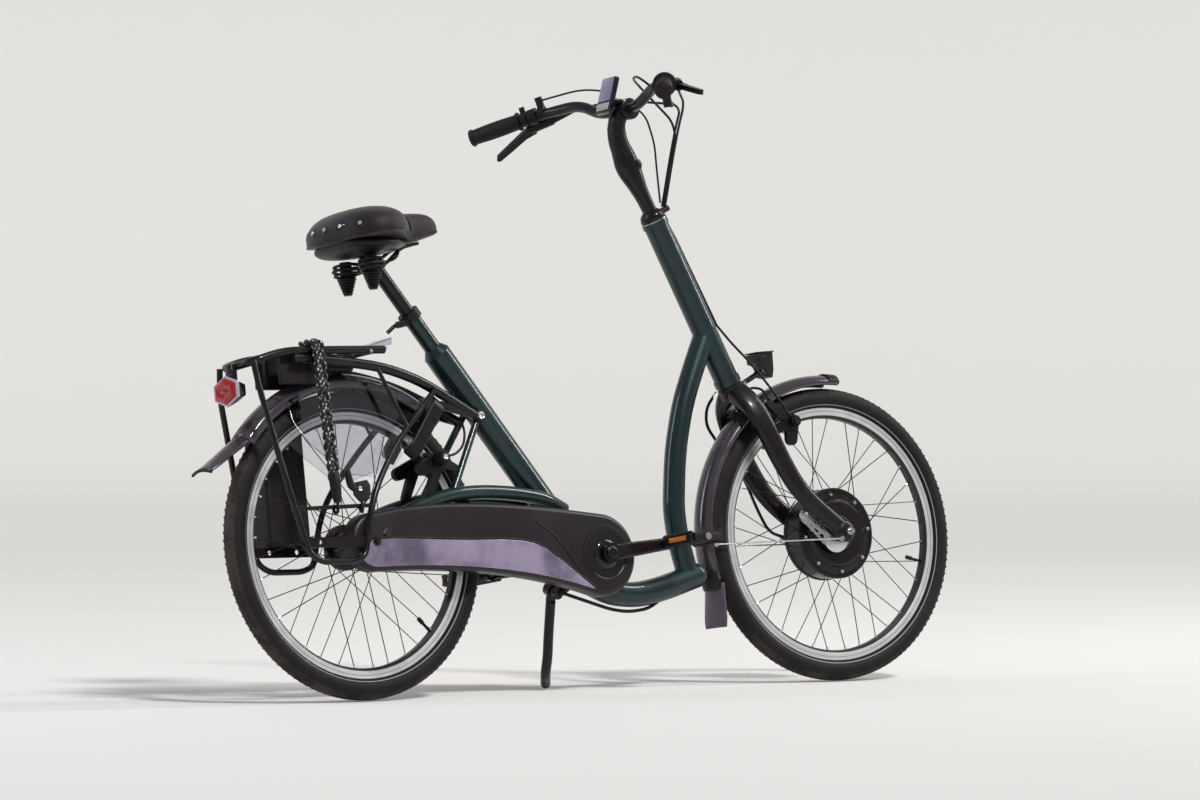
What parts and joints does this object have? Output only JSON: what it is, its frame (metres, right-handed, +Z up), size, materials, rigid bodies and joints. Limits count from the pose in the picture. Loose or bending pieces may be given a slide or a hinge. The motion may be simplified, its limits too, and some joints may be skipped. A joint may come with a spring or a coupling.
{
  "type": "step-through bicycle",
  "caption": "Low step-through city bicycle with a front hub motor, full chain case, rear rack and side stand, parked leaning on the stand.",
  "frame": {"origin": "bottom centre of the overall box, on the floor", "axes": "+X forward, +Y to the rider's left, +Z up"},
  "size_m": [1.8564, 0.7379, 1.233],
  "materials": {
    "black_metal": "satin",
    "black_plastic": "textured",
    "frame_paint": "gloss metallic",
    "gloss_plastic": "gloss",
    "grip_rubber": "matte",
    "red_lens": "clear",
    "rim_alloy": "machined and black",
    "saddle_cover": "grained",
    "silver_metal": "brushed",
    "spoke_steel": "dark",
    "strap_cord": "woven",
    "tyre_rubber": "matte"
  },
  "bodies": {
    "frame": {"battery": "black_plastic", "bracket_shell": "frame_paint", "case_panel": "gloss_plastic", "chain_case": "black_plastic", "coat_guards": "gloss_plastic", "frame_cables": "black_plastic", "head_tube": "frame_paint", "left_stay": "frame_paint", "lower_tube": "frame_paint", "main_tube": "frame_paint", "rack_box": "black_plastic", "rack_clip": "silver_metal", "rack_leg_left": "black_metal", "rack_leg_right": "black_metal", "rack_rails": "black_metal", "rack_side_left": "black_metal", "rack_side_right": "black_metal", "rear_axle": "silver_metal", "rear_brake": "black_metal", "rear_light": "red_lens", "rear_mudguard": "black_plastic", "right_stay": "frame_paint", "ring_lock": "black_plastic", "saddle": "saddle_cover", "saddle_frame": "black_metal", "seat_clamp": "black_metal", "seat_post": "black_metal", "seat_tube": "frame_paint", "stand_bracket": "black_metal", "stay_struts": "frame_paint", "strap": "strap_cord"},
    "steering": {"bar_cables": "black_plastic", "brake_levers": "black_metal", "display": "gloss_plastic", "fork_blades": "black_metal", "fork_cables": "black_plastic", "fork_crown": "black_metal", "front_axle": "silver_metal", "front_brake": "black_metal", "front_mudguard": "black_plastic", "grips": "grip_rubber", "handlebar": "black_metal", "headlight": "black_metal", "mudguard_stays": "black_metal", "shifters": "black_metal", "stem": "black_metal", "stem_lever": "silver_metal"},
    "crankset": {"cranks": "black_metal"},
    "front_wheel": {"front_rim": "rim_alloy", "front_spokes": "spoke_steel", "front_tyre": "tyre_rubber", "hub_motor": "black_metal"},
    "left_pedal": {"left_pedal": "black_plastic"},
    "rear_wheel": {"rear_hub": "black_metal", "rear_rim": "rim_alloy", "rear_spokes": "spoke_steel", "rear_tyre": "tyre_rubber"},
    "right_pedal": {"right_pedal": "black_plastic"},
    "side_stand": {"side_stand": "black_metal"}
  },
  "joints": [
    {"name": "steering", "type": "hinge", "parent": "frame", "child": "steering", "pos_m": [0.56404, -0.12818, 0.26895], "axis": [-0.4214, 0.1325, 0.8971], "range_deg": [-40, 50]},
    {"name": "rear_wheel_spin", "type": "hinge", "parent": "frame", "child": "rear_wheel", "pos_m": [-0.58157, -0.12381, 0.29801], "axis": [0.0001, 0.9893, -0.1461], "continuous": true},
    {"name": "front_wheel_spin", "type": "hinge", "parent": "steering", "child": "front_wheel", "pos_m": [0.62816, -0.1302, 0.29938], "axis": [0.0823, 0.9908, -0.1077], "continuous": true},
    {"name": "crank_spin", "type": "hinge", "parent": "frame", "child": "crankset", "pos_m": [-0.01756, -0.12907, 0.26265], "axis": [0.0001, 0.9893, -0.1461], "continuous": true},
    {"name": "right_pedal_spin", "type": "hinge", "parent": "crankset", "child": "right_pedal", "pos_m": [0.15149, -0.27487, 0.30222], "axis": [0.0001, 0.9893, -0.1461], "continuous": true},
    {"name": "left_pedal_spin", "type": "hinge", "parent": "crankset", "child": "left_pedal", "pos_m": [-0.18661, 0.01673, 0.22308], "axis": [0.0001, 0.9893, -0.1461], "continuous": true},
    {"name": "stand_swing", "type": "hinge", "parent": "frame", "child": "side_stand", "pos_m": [-0.07453, -0.10178, 0.20097], "axis": [0.0656, 0.9455, 0.3191], "range_deg": [0, 92]}
  ]
}
